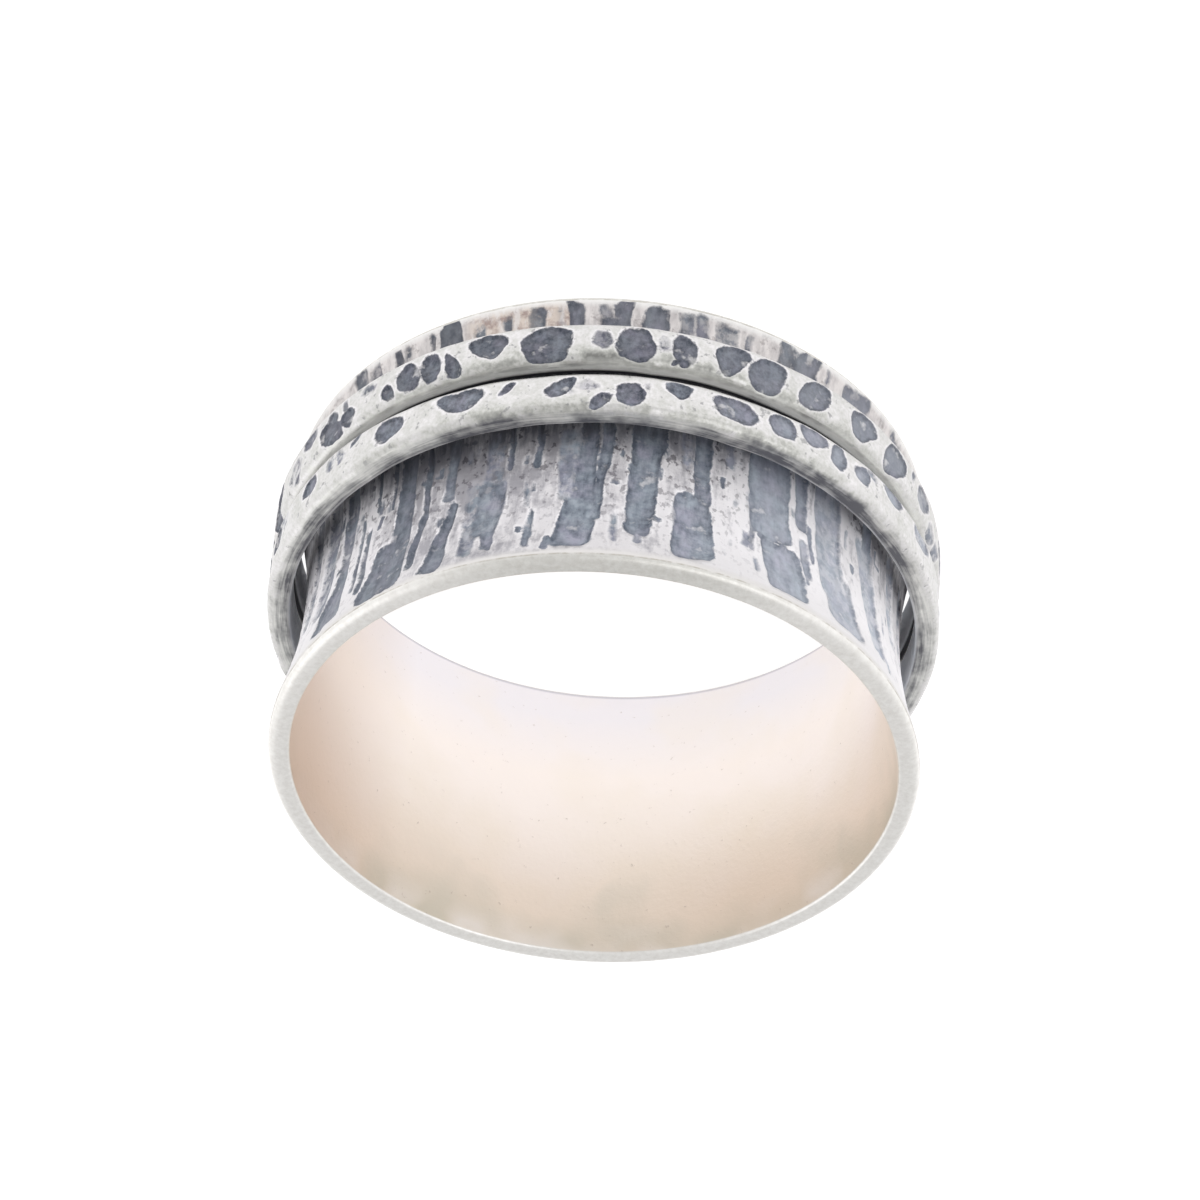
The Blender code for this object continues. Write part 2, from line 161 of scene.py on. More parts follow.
# Dents of the spinners. Up and tall are shares of the spinner's width, lean is how far the dent's ends
# shift, taper is positive where it is wider at its upper end, and deep is a share of DENT_DEPTH.
# at, wide, up, tall, lean, taper, deep, dark
LOWER_DENTS = (
    (-69.0, 5.0, 0.64, 0.62, 0.0, 0.0, 0.4, 0.45),
    (-63.0, 5.2, 0.36, 0.37, 0.0, -0.4, 0.6, 0.7),
    (-56.3, 6.4, 0.70, 0.62, 1.0, 0.0, 0.9, 0.9),
    (-55.6, 2.8, 0.38, 0.34, 0.3, 0.0, 0.7, 0.8),
    (-51.3, 3.6, 0.675, 0.45, 0.3, 0.0, 0.8, 0.9),
    (-52.3, 1.6, 0.33, 0.31, 0.3, 0.0, 0.6, 0.8),
    (-46.1, 3.4, 0.35, 0.28, 0.0, 0.0, 0.4, 0.45),
    (-41.7, 2.5, 0.72, 0.42, 0.4, 0.0, 0.9, 1.0),
    (-37.4, 4.7, 0.58, 0.70, 0.4, 0.0, 0.9, 0.9),
    (-33.0, 3.8, 0.565, 0.73, 0.2, -0.1, 1.0, 0.95),
    (-28.9, 2.7, 0.66, 0.72, 0.9, 0.5, 1.0, 1.0),
    (-22.2, 6.2, 0.455, 0.64, 0.3, -0.4, 0.9, 1.0),
    (-12.2, 8.4, 0.62, 0.92, 0.0, -0.1, 1.0, 1.0),
    (-3.1, 3.4, 0.505, 0.48, 0.2, 0.0, 0.6, 0.75),
    (2.6, 6.6, 0.56, 0.84, 0.1, 0.0, 1.0, 1.0),
    (7.5, 1.9, 0.47, 0.36, 0.0, 0.0, 0.5, 0.55),
    (10.7, 4.4, 0.58, 0.76, 0.2, -0.15, 0.9, 1.0),
    (9.0, 1.2, 0.90, 0.16, -0.3, 0.0, 0.5, 0.9),
    (18.8, 5.5, 0.525, 0.77, -0.9, -0.25, 1.0, 1.0),
    (25.4, 6.6, 0.62, 0.90, -0.9, -0.15, 0.9, 0.9),
    (35.0, 6.2, 0.535, 0.79, -1.3, 0.0, 1.0, 1.0),
    (46.2, 6.4, 0.52, 0.70, -0.6, -0.4, 0.8, 0.9),
    (55.6, 6.6, 0.58, 0.82, -1.2, 0.0, 0.9, 0.9),
    (67.2, 5.8, 0.49, 0.63, -0.8, 0.0, 0.6, 0.75),
    (62.4, 1.8, 0.33, 0.30, -0.4, 0.0, 0.4, 0.6),
    (72.6, 4.4, 0.86, 0.50, 0.0, 0.0, 0.5, 0.6),
)
UPPER_DENTS = (
    (-72.5, 4.0, 0.30, 0.40, 0.5, 0.0, 0.3, 0.45),
    (-61.5, 4.7, 0.415, 0.49, 0.0, 0.0, 0.9, 1.0),
    (-53.8, 5.4, 0.355, 0.42, 0.0, 0.0, 0.4, 0.35),
    (-48.4, 2.1, 0.22, 0.19, -0.7, 0.0, 0.5, 0.8),
    (-40.6, 6.1, 0.44, 0.54, -0.6, 0.0, 1.0, 1.0),
    (-26.5, 8.1, 0.425, 0.56, 0.4, -0.25, 1.0, 1.0),
    (-18.6, 1.8, 0.35, 0.29, -0.8, 0.0, 0.8, 0.9),
    (-9.3, 4.1, 0.45, 0.48, -1.3, 0.0, 0.9, 1.0),
    (-5.0, 3.8, 0.385, 0.30, 0.0, 0.0, 0.5, 0.55),
    (-7.2, 1.4, 0.57, 0.12, 0.0, 0.0, 0.3, 0.5),
    (-2.8, 3.2, 0.775, 0.38, -0.8, 0.0, 0.9, 1.0),
    (2.1, 5.0, 0.59, 0.57, 0.0, 0.0, 1.0, 1.0),
    (5.1, 1.0, 0.33, 0.17, 0.0, 0.0, 0.3, 0.6),
    (10.1, 4.1, 0.34, 0.39, 0.0, -0.5, 0.9, 1.0),
    (20.0, 8.1, 0.49, 0.57, 0.9, -0.15, 1.0, 1.0),
    (28.6, 5.1, 0.445, 0.54, 0.0, 0.0, 0.9, 1.0),
    (34.9, 5.5, 0.34, 0.45, 0.0, -0.35, 0.8, 0.85),
    (40.4, 3.5, 0.40, 0.57, 0.0, 0.35, 0.9, 1.0),
    (46.2, 4.2, 0.445, 0.43, 0.0, 0.0, 0.8, 0.95),
    (49.0, 2.8, 0.24, 0.19, 0.0, 0.0, 0.5, 0.65),
    (55.3, 5.6, 0.28, 0.38, 0.0, -0.45, 0.7, 0.85),
    (66.5, 7.6, 0.30, 0.48, 0.0, 0.0, 0.5, 0.65),
)

# The tables chart the front. Mirrored and turned copies carry the pattern round the back.
CHARTED_HALF = 75.0
BACK_TURN = 2 * CHARTED_HALF
CLOSING_TURN = 180.0 + CHARTED_HALF
CLOSING_HALF = (360.0 - 4 * CHARTED_HALF) / 2
BARK_POWER = 4.2                # how square the outline of a mark is
DENT_POWER = 2.2
BRINK = 0.00009                 # width of a mark's sloping side
REACH = 0.0003                  # distance from an outline that is painted on the mesh
PATINA_AT = -18.0               # where brown patina is left on the lower lip
PATINA_WIDE = 24.0
PATINA_UP = (0.30, 0.12)        # shares of the ring's width where it ends and where it is full
NICKS = 240                     # small chance marks between the charted ones
SOOT_EDGE = 0.474               # share of the ring's width that soot and painted shadow reach up to from the spinners
SOOT_LEAN = 0.045               # how much further it reaches on the left than in front
SOOT_SOFT = 0.034               # half the width of its soft edge
SOOT_FOOT = (0.10, 0.20)        # shares of the ring's width where it sets in above the lower lip
SOOT_SHADOW_LESS_RIGHT = 0.85         # share of the soot and painted shadow that is left out on the right
SOOT_SHADOW_LESS_LEFT = 0.45          # and at the left end
FLANK_LIGHT_UP = (0.40, 0.48)        # shares of the ring's width where the painted light on the flanks sets in
FLANK_LIGHT_RIGHT = (-0.05, 0.60)    # how far sideways, as shares of the radius, the bark gets painted light on its flanks
FLANK_LIGHT_LEFT = (-0.60, -0.77)
SOOT_SHADOW_THIN_LEFT = (-0.55, -0.75)
DARKER_LEFT = (-0.15, -0.45)
BARK_SHALE = 0.00006            # how far an outline wanders
DENT_SHALE = 0.00005
CORNER_CLOSES = 0.0004          # how far inside a dent its outline is drawn in on a spinner's corner
CORNER_BARE = 0.15              # share of a corner's rounding, from its side, that has no dents
CORNER_FULL = 0.75              # share of it where dents reach their full depth
PEBBLE_THREE = 0.035            # how far an outline swells and shrinks, in three lobes and in five
PEBBLE_FIVE = 0.025
BOWL = 0.25                     # share of a mark's depth that it gains from its brink to its middle
BURR = (-0.00012, -0.00003, 0.00002)   # distance inside an outline where the burr starts, peaks and ends
BURR_HEIGHT = 0.8               # as a share of PLANISH
PLAIN_LIP = (0.018, 0.035)      # shares of the ring's width where the hammering sets in

# Colours, as shares of red, green and blue. A pair is mixed by a noise, or by how worn or thin the place is.
BARK_OXIDE = (0.37, 0.415, 0.475), (0.105, 0.125, 0.165)
BARK_OXIDE_LEFT = (0.08, 0.09, 0.11)           # mixed in towards +X
BARK_OXIDE_LOW = (0.07, 0.065, 0.07)           # mixed in on the lower lip
DENT_OXIDE = (0.26, 0.285, 0.335), (0.06, 0.068, 0.09)
DENT_OXIDE_LOWER = (0.04, 0.045, 0.06)         # mixed in on the lower spinner
OXIDE_SHEEN = (0.54, 0.575, 0.65)             # painted sheen, mixed in towards -X
# soot and painted shadow under the spinners
SOOT_SHADOW = (0.12, 0.12, 0.14)
RIDGE = (0.74, 0.72, 0.74)
# painted highlight on the ridges round the marks, and painted light on the flanks
RIDGE_LIT = (0.87, 0.85, 0.87)
RIDGE_HIGH = (0.72, 0.70, 0.71)                # towards the upper lip
RIDGE_SOILED = (0.40, 0.39, 0.42)
PITS = (0.15, 0.14, 0.16)
UPPER_LIP = (0.70, 0.68, 0.67)
LOWER_LIP = (0.70, 0.66, 0.64), (0.47, 0.44, 0.43)
LIP_DOTS = (0.22, 0.19, 0.19)
PATINA = (0.66, 0.57, 0.50), (0.38, 0.29, 0.26)
LOWER_EDGE = (0.88, 0.87, 0.86)
INSIDE_FOOT = (0.86, 0.83, 0.855)
INSIDE_PEARL = (0.95, 0.88, 0.84)
INSIDE_PEACH = (0.905, 0.825, 0.735)
INSIDE_OLIVE = (0.72, 0.70, 0.62), (0.83, 0.77, 0.68)
INSIDE_PALE = (0.90, 0.89, 0.87)               # in patches next to the upper rim
INSIDE_TAN = (0.72, 0.60, 0.51)                # towards +X
INSIDE_FOOT_SHADE = (0.40, 0.38, 0.45)               # painted shade on a thin edge at the foot, where the inside meets the floor
INSIDE_SPECKS = (0.45, 0.38, 0.33)
# rim land, with painted shade in front and painted lighter round the rest
RIM_FRONT_SHADED = (0.77, 0.76, 0.73), (0.65, 0.635, 0.60)
RIM_ROUND_LIT = (0.92, 0.905, 0.88), (0.81, 0.79, 0.76)
CREASE_DIRT = (0.40, 0.37, 0.31)
FACE = (0.82, 0.80, 0.81), (0.56, 0.56, 0.53)
FACE_SOILED = (0.24, 0.24, 0.23)
FACE_NIPS = (0.25, 0.25, 0.26)
SIDE_LOWER_LIT = (1.0, 1.0, 0.96)                  # filed side of the lower spinner where it is clean, painted lighter to make up for the shade in the gap
SIDE_UPPER = (0.76, 0.75, 0.71)
# soil and painted shade on the filed sides
SIDE_SOIL_AND_SHADE = (0.13, 0.13, 0.145)
SIDE_GAP_SHADOW = (0.02, 0.02, 0.025)             # painted shadow in the gap between the spinners
# painted highlight along the inner edge of the upper spinner's side
SIDE_EDGE_HIGHLIGHT = (0.78, 0.77, 0.76)
SPINNER_INSIDE = (0.92, 0.94, 0.95)
PAPER = (0.5, 0.5, 0.5)
OXIDE_TINGE = (1.06, 0.95, 1.01)               # how a drifting tinge shifts the oxide's colour

# Places along X or Y, in metres, where a tint sets in and where it is full
SHEEN_AT = (-0.002, -0.008)                   # along X
OXIDE_LEFT_AT = (0.002, 0.006)                 # along X
INSIDE_TAN_AT = (0.0060, 0.0090)               # along X
RIM_SHADE_AT = (-0.0096, -0.0080)              # along Y

# Surfaces and lights
OXIDE_ROUGHNESS = 0.55
OXIDE_METALLIC = 0.6
GRAIN_HEIGHT = 0.00002          # of the fine bumps
FLOOR_RADIUS = 0.9
PAPER_GLOW = 0.74
SKY_MIDDLE = 0.74
SKY_SIDES = 1.00
# place, size, power
LAMPS = (
    ((-0.16, -0.20, 0.22), 0.24, 0.12),
    ((0.22, 0.10, 0.20), 0.24, 0.08),
)

# node, body, dents, how dirty the filed sides are (a low share also paints light on the lower spinner's
# side), seed of the outlines and waves
SPINNERS = (
    ("lower_spinner_band", "lower_spinner", LOWER_DENTS, 0.0, 31),
    ("upper_spinner_band", "upper_spinner", UPPER_DENTS, 1.0, 51),
)

CAMERA_TILT = math.radians(49.87)      # between the view and the finger axis
CAMERA_ROLL = math.radians(3.67)
CAMERA_DISTANCE = 0.1818
CAMERA_SIDE = 0.000053                 # how far the view's middle passes beside the ring's middle
CAMERA_RISE = -0.001201
PIXELS_A_METRE = 31610                 # at the ring's middle, on a picture of the width below
PICTURE = 1200
SENSOR = 36.0


def ring_noise(angles, heights, around, up, seed):
    """Smooth noise from -1 to 1 that closes round the ring, with so many cells round it and up it."""
    lattice = np.random.default_rng(seed).uniform(-1, 1, (around, up + 2))
    u = (angles / 360.0 % 1.0) * around
    v = np.clip(heights, 0, 1) * up
    i, j = np.floor(u).astype(int), np.floor(v).astype(int)
    s, t = u - i, v - j
    s, t = s * s * (3 - 2 * s), t * t * (3 - 2 * t)
    i0, i1, j1 = i % around, (i + 1) % around, j + 1
    low = lattice[i0, j] * (1 - s) + lattice[i1, j] * s
    high = lattice[i0, j1] * (1 - s) + lattice[i1, j1] * s
    return low * (1 - t) + high * t


def two_noises(angles, heights, coarse, fine, share, seed):
    """A coarse noise plus a share of a finer one. A size is a noise's cells round the ring and up it."""
    broad = ring_noise(angles, heights, *coarse, seed)
    return broad + share * ring_noise(angles, heights, *fine, seed + 1)


def fade(values, start, end):
    """Smooth step from 0 at start to 1 at end."""
    share = np.clip((values - start) / (end - start), 0, 1)
    return share * share * (3 - 2 * share)


def round_the_ring(at):
    """Places, with their mirroring, where a mark charted at this angle is repeated round the ring."""
    places = [(at, 1), (BACK_TURN - at, -1)]
    if abs(at) < CLOSING_HALF:
        places.append((CLOSING_TURN + at, 1))
    return places


def angle_between(first, second):
    """Signed difference of angles in degrees, from -180 to 180."""
    return (first - second + 180.0) % 360.0 - 180.0


class Marks:
    """Fields of a hammered face: how far inside the nearest mark a point is, its depth and its oxide."""

    def __init__(self, shape, power):
        self.power = power
        self.inside = np.full(shape, -REACH)
        self.depth = np.zeros(shape)
        self.tone = np.zeros(shape)

    def strike(self, across, along, half_size, deep, dark, turn):
        """Sink one mark, from places -1 to 1 across and along it. Turn varies its pebble-like outline."""
        reach = (np.abs(across) ** self.power + np.abs(along) ** self.power) ** (1 / self.power)
        bearing = np.arctan2(along, across)
        lobes = PEBBLE_THREE * np.cos(3 * bearing + turn), PEBBLE_FIVE * np.cos(5 * bearing + 2 * turn)
        reach = reach * (1 + lobes[0] + lobes[1])
        inside = (1 - reach) * half_size
        bowl = 1 - BOWL + BOWL * np.clip(1 - reach, 0, 1)
        np.maximum(self.depth, deep * fade(inside, 0, BRINK) * bowl, out=self.depth)
        nearer = inside > self.inside
        self.inside[nearer] = inside[nearer]
        self.tone[nearer] = dark

    def painted(self):
        """Distance inside an outline from -1 to 1, for the mesh to carry."""
        return np.clip(self.inside / REACH, -1, 1)


def nicks(seed):
    """Small chance marks anywhere round the ring, thinning out towards its upper lip, as rows of BARK."""
    chance = np.random.default_rng(seed)
    rows = []
    for _ in range(NICKS):
        at = chance.uniform(-180, 180)
        wide = chance.uniform(0.5, 1.5)
        tall = chance.uniform(0.012, 0.10) * chance.uniform(0.4, 1.0)
        foot = 0.45 + 0.42 * chance.uniform(0, 1) ** 1.5
        head_at = at - chance.uniform(0, 0.6)
        head_wide = wide * chance.uniform(0.6, 1.2)
        deep, dark = chance.uniform(0.2, 0.6), chance.uniform(0.45, 1.0)
        rows.append((at, head_at, wide, head_wide, foot, foot + tall, deep, dark))
    return rows


def bark_marks(angles, heights):
    """Marks of the bark on a grid of angles and heights (as shares of the ring's width)."""
    marks = Marks(np.broadcast(angles, heights).shape, BARK_POWER)
    degree = math.radians(1) * WAIST_RADIUS
    wander = two_noises(angles, heights, (110, 12), (250, 26), 0.4, 11)
    lift = two_noises(angles, heights, (180, 9), (360, 16), 0.4, 13)
    # Near the foot the outlines wander twice as far.
    shale = BARK_SHALE * (1 + fade(heights, 0.24, 0.12))
    bent = angles + wander * shale / degree
    raised = heights + lift * shale / RING_WIDTH
    charted = [(row, round_the_ring((row[0] + row[1]) / 2)) for row in BARK]
    chance = [(row, [((row[0] + row[1]) / 2, 1)]) for row in nicks(17)]
    for number, (row, places) in enumerate(charted + chance):
        foot_at, head_at, foot_wide, head_wide, foot, head, deep, dark = row
        along = (raised - foot) / (head - foot)
        share = np.clip(along, 0, 1)
        half = (foot_wide + (head_wide - foot_wide) * share) / 2
        middle = (foot_at + head_at) / 2
        half_wide = half * degree
        half_tall = (head - foot) / 2 * RING_WIDTH
        # A long mark keeps its full width to near its ends.
        ends = np.maximum(half_tall / half_wide, 1)
        near_end = np.clip(1 - (1 - np.abs(2 * along - 1)) * ends, 0, None)
        half_size = np.minimum(half_wide, half_tall)
        for place, side in places:
            spine = place + side * (foot_at + (head_at - foot_at) * share - middle)
            across = angle_between(bent, spine) / half
            marks.strike(across, near_end, half_size, deep, dark, number)
    return marks


def dent_marks(dents, angles, heights, seed):
    """Marks of a spinner's dents on a grid of angles and heights (shares of its width)."""
    marks = Marks(np.broadcast(angles, heights).shape, DENT_POWER)
    degree = math.radians(1) * SPINNER_HIGH.x
    wander = two_noises(angles, heights, (120, 3), (300, 6), 0.4, seed)
    lift = two_noises(angles, heights, (120, 3), (300, 6), 0.4, seed + 2)
    bent = angles + wander * DENT_SHALE / degree
    raised = heights + lift * DENT_SHALE / SPINNER_WIDTH
    for number, (at, wide, up, tall, lean, taper, deep, dark) in enumerate(dents):
        along = (raised - up) / (tall / 2)
        share = np.clip(along, -1, 1)
        half = wide / 2 * (1 + taper * share)
        half_size = np.minimum(wide / 2 * degree, tall / 2 * SPINNER_WIDTH)
        for place, side in round_the_ring(at):
            across = angle_between(bent, place + side * lean * share) / half
            marks.strike(across, along, half_size, deep, dark, number)
    return marks


def outer_radius(height):
    """Outer radius of the base band, before it is hammered."""
    share = (height - HALF_WIDTH) / HALF_WIDTH
    return WAIST_RADIUS + FLARE * share * share


def inner_radius(height):
    """Inner radius of the base band."""
    share = (height - HALF_WIDTH) / HALF_WIDTH
    return FINGER_BORE / 2 + (FLARE - RIM_SWELL) * share * share


def arc(centre, radius, start, end, rows):
    """Points of an arc in the plane of radius and height, by angles in degrees, without its first point."""
    points = []
    for row in range(1, rows + 1):
        angle = math.radians(start + (end - start) * row / rows)
        points.append((centre[0] + radius * math.cos(angle), centre[1] + radius * math.sin(angle)))
    return points


def line(start, end, rows):
    """Points of a straight run in the plane of radius and height, without its first point."""
    return [tuple(a + (b - a) * row / rows for a, b in zip(start, end)) for row in range(1, rows + 1)]


def base_profile():
    """Cross-section of the base band and, for each point, whether it is outside, on a rim or inside."""
    low, high = RIM_DROP, RING_WIDTH - RIM_DROP
    steps = np.linspace(low, high, BARK_ROWS + 1)
    outside = [(outer_radius(z), z) for z in steps]
    land_inner = inner_radius(RING_WIDTH) + RIM_EASE
    land_outer = land_inner + RIM_LAND - RIM_EASE
    edge = (outer_radius(high), high)
    # The rim's outer shoulder is a smooth curve from the flared face to the flat land.
    bend = (outer_radius(RING_WIDTH) - RIM_EASE, RING_WIDTH)
    shoulder = []
    for row in range(1, SHOULDER_ROWS + 1):
        share = row / SHOULDER_ROWS
        ends = (1 - share) ** 2, 2 * share * (1 - share), share * share
        shoulder.append(tuple(ends[0] * a + ends[1] * b + ends[2] * c
                              for a, b, c in zip(edge, bend, (land_outer, RING_WIDTH))))
    ease = arc((land_inner, RING_WIDTH - RIM_EASE), RIM_EASE, 90, 180, EASE_ROWS)
    top = shoulder + [(land_inner, RING_WIDTH)] + ease
    steps = np.linspace(RING_WIDTH - RIM_EASE, RIM_EASE, INNER_ROWS + 1)[1:-1]
    inside = [(inner_radius(z), z) for z in steps]
    bottom = [(radius, RING_WIDTH - height) for radius, height in reversed(top)]
    points = outside + top + inside + bottom
    inner_rows = [2] * (len(inside) + 2)
    zones = [0] * len(outside) + [1] * (len(top) - 1) + inner_rows + [1] * (len(bottom) - 1)
    return np.array(points), np.array(zones)


def spinner_profile(low, high, outer):
    """Cross-section of a spinner, as radii and heights."""
    round_low, round_high = low + SPINNER_ROUND, high - SPINNER_ROUND
    centre = outer - SPINNER_ROUND
    face = [(outer, z) for z in np.linspace(round_low, round_high, FACE_ROWS + 1)]
    upper_corner = arc((centre, round_high), SPINNER_ROUND, 0, 90, CORNER_ROWS)
    upper_side = line((centre, high), (SPINNER_INNER + SPINNER_EASE, high), SIDE_ROWS)
    bevel = arc((SPINNER_INNER + SPINNER_EASE, high - SPINNER_EASE), SPINNER_EASE, 90, 180, EASE_ROWS)
    upper = upper_corner + upper_side + bevel
    lower = [(radius, low + high - height) for radius, height in reversed(upper)]
    return np.array(face + upper + lower)


def turned_mesh(name, radii, heights, angles, attributes):
    """A closed mesh from grids of radii and heights: a column for each angle, a row round the section."""
    columns, rows = radii.shape
    turn = np.radians(angles)[:, None]
    verts = np.stack([-radii * np.sin(turn), -radii * np.cos(turn),
                      np.broadcast_to(heights, radii.shape)], axis=2).reshape(-1, 3)
    column, row = np.meshgrid(np.arange(columns), np.arange(rows), indexing="ij")
    next_column, next_row = (column + 1) % columns, (row + 1) % rows
    faces = np.stack([column * rows + row, column * rows + next_row,
                      next_column * rows + next_row, next_column * rows + row], axis=2).reshape(-1, 4)
    mesh = bpy.data.meshes.new(name)
    mesh.from_pydata(verts.tolist(), [], faces.tolist())
    mesh.shade_smooth()
    for label, values in attributes.items():
        layer = mesh.attributes.new(label, "FLOAT", "POINT")
        values = np.broadcast_to(values, radii.shape)
        layer.data.foreach_set("value", np.ascontiguousarray(values, dtype=np.float32).ravel())
    mesh.update()
    return mesh


def add_piece(name, mesh, material):
    """Put a mesh in the scene with its material."""
    piece = bpy.data.objects.new(name, mesh)
    piece.data.materials.append(material)
    bpy.context.scene.collection.objects.link(piece)
    return piece


def base_band(material):
    """The base band, hammered like bark outside, with plain lips and a smooth inside."""
    profile, zones = base_profile()
    angles = np.arange(BASE_COLUMNS) * 360.0 / BASE_COLUMNS
    grid = angles[:, None]
    shares = (profile[:, 1] / RING_WIDTH)[None, :]
    marks = bark_marks(grid, shares)
    outside = (zones == 0)[None, :]
    uneven = two_noises(grid, shares, (110, 5), (300, 14), 0.5, 21)
    # The metal stands a little proud along the outline of each mark.
    starts, peaks, ends = BURR
    burr = fade(marks.inside, starts, peaks) * fade(marks.inside, ends, peaks)
    relief = marks.depth * BARK_DEPTH - PLANISH * (uneven + BURR_HEIGHT * burr)
    hammered = fade(shares, *PLAIN_LIP) * fade(1 - shares, *PLAIN_LIP)
    radii = profile[:, 0][None, :] - np.where(outside, relief * hammered, 0)
    patina = np.zeros(grid.shape)
    for place, _side in round_the_ring(PATINA_AT):
        away = np.abs(angle_between(grid, place))
        patina = np.maximum(patina, fade(away, PATINA_WIDE / 2, PATINA_WIDE / 3))
    sideways = np.sin(np.radians(grid))
    # Painted light brightens the bark on its flanks; left of the front the value drops below 0 and darkens
    # the bark instead.
    right, left = fade(sideways, *FLANK_LIGHT_RIGHT), fade(sideways, *FLANK_LIGHT_LEFT)
    flank_light = right + 0.7 * left - 0.8 * fade(sideways, *DARKER_LEFT) * (1 - left)
    # Soot and painted shadow under the spinners, with less of both on the right and at the left end.
    edge = SOOT_EDGE - SOOT_LEAN * sideways
    soot_shadow = fade(shares, edge + SOOT_SOFT, edge - SOOT_SOFT) * fade(shares, *SOOT_FOOT)
    soot_shadow = soot_shadow * (1 - SOOT_SHADOW_LESS_RIGHT * right) * (1 - SOOT_SHADOW_LESS_LEFT * fade(sideways, *SOOT_SHADOW_THIN_LEFT))
    painted = {
        "reach": np.where(outside, marks.painted(), -1.0),
        "tone": marks.tone,
        "soot_shadow": soot_shadow,
        "patina": patina * fade(shares, *PATINA_UP),
        "flank_light": flank_light * fade(shares, *FLANK_LIGHT_UP),
        "inside": np.where(zones == 2, 1.0, 0.0)[None, :],
        "rim": np.where(zones == 1, 1.0, 0.0)[None, :],
    }
    name = "base_band_silver"
    return add_piece(name, turned_mesh(name, radii, profile[:, 1][None, :], angles, painted), material)


def spinner_band(node_name, dents, grime_and_light, seed, material):
    """One spinner, dented on its face, with corners smoothed bare of dents and sides as dirty as a share from
    0 to 1 says; a low share also brings painted light on the side.
    """
    low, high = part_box(node_name)
    outer = high.x
    profile = spinner_profile(low.z, high.z, outer)
    angles = np.arange(SPINNER_COLUMNS) * 360.0 / SPINNER_COLUMNS
    grid = angles[:, None]
    radius, height = profile[:, 0][None, :], profile[:, 1][None, :]
    shares = (height - low.z) / (high.z - low.z)
    marks = dent_marks(dents, grid, shares, seed)
    faceward = np.clip((radius - (outer - SPINNER_ROUND)) / SPINNER_ROUND, 0, 1)
    marks.inside = marks.inside - CORNER_CLOSES * fade(faceward, CORNER_FULL, CORNER_BARE)
    marks.depth = marks.depth * fade(faceward, CORNER_BARE, CORNER_FULL)
    uneven = two_noises(grid, shares, (80, 2), (240, 4), 0.5, seed + 5)
    radii = radius - marks.depth * DENT_DEPTH + PLANISH * uneven * fade(faceward, 0, 0.7)
    # The filed sides wave a little, and their corners with them.
    upward = fade(shares, 0.75, 1.0) * ring_noise(grid, shares, 26, 1, seed + 7)
    downward = fade(shares, 0.25, 0.0) * ring_noise(grid, shares, 26, 1, seed + 8)
    heights = height - SIDE_WAVE * (np.abs(upward) - np.abs(downward))
    sideways = np.sin(np.radians(grid))
    # The sides are lighter in front, on the left and at the right end.
    front = fade(np.abs(angle_between(grid, 2)), 24, 8)
    left, end = fade(sideways, -0.25, -0.60), fade(sideways, 0.88, 0.98)
    painted = {
        "reach": np.where(faceward > 0.04, marks.painted(), -1.0),
        "tone": marks.tone,
        "inward": (outer - radius) / (outer - SPINNER_INNER),
        "up": shares * (1 - 0.5 * sideways ** 2),
        "grime_and_light": grime_and_light * (1 - 0.3 * front - 0.4 * left - 0.4 * end),
        "inside": np.where(radius < SPINNER_INNER + 0.3 * SPINNER_EASE, 1.0, 0.0),
    }
    name = node_name + "_silver"
    return add_piece(name, turned_mesh(name, radii, heights, angles, painted), material)


def node(tree, kind, inputs=None, **settings):
    """Add a shader node; inputs are values or other nodes' sockets, by socket name or number."""
    made = tree.nodes.new(kind)
    for label, value in settings.items():
        setattr(made, label, value)
    for label, value in (inputs or {}).items():
        if isinstance(value, bpy.types.NodeSocket):
            tree.links.new(value, made.inputs[label])
        else:
            made.inputs[label].default_value = value
    return made


def maths(tree, operation, *values):
    """A math node's output."""
    return node(tree, "ShaderNodeMath", dict(enumerate(values)), operation=operation).outputs[0]


def total(tree, value, *others):
    """The sum of several values."""
    for other in others:
        value = maths(tree, "ADD", value, other)
    return value


def parts_of(tree, vector):
    """The X, Y and Z of a vector, as sockets."""
    return node(tree, "ShaderNodeSeparateXYZ", {"Vector": vector}).outputs


def mix(tree, share, first, second):
    """Mix two colours by a share."""
    made = node(tree, "ShaderNodeMix", {"Factor": share}, data_type="RGBA")
    for socket, value in zip([s for s in made.inputs if s.type == "RGBA"], (first, second)):
        if isinstance(value, bpy.types.NodeSocket):
            tree.links.new(value, socket)
        else:
            socket.default_value = (*value, 1)
    return [s for s in made.outputs if s.type == "RGBA"][0]


def remap(tree, value, low, high, to_low=0.0, to_high=1.0):
    """Map a range of values onto another, clamped."""
    made = node(tree, "ShaderNodeMapRange", {"Value": value, "From Min": low, "From Max": high,
                                             "To Min": to_low, "To Max": to_high})
    return made.outputs["Result"]


def attribute(tree, label):
    """A value painted on the mesh by its own geometry."""
    return node(tree, "ShaderNodeAttribute", attribute_name=label).outputs["Fac"]


def noise(tree, vector, scale, detail=3.0, roughness=0.55):
    """Noise at a place, with so many cells a metre."""
    return node(tree, "ShaderNodeTexNoise", {"Vector": vector, "Scale": scale, "Detail": detail,
                                             "Roughness": roughness}).outputs["Fac"]


def stretched(tree, vector, scale):
    """Coordinates stretched by a scale on each axis."""
    return node(tree, "ShaderNodeMapping", {"Vector": vector, "Scale": scale}).outputs["Vector"]


def silver_material(name):
    """A new material, its node tree, its shader and the object's own coordinates."""
    material = bpy.data.materials.new(name)
    material.use_nodes = True
    tree = material.node_tree
    place = node(tree, "ShaderNodeTexCoord").outputs["Object"]
    return material, tree, tree.nodes["Principled BSDF"], place


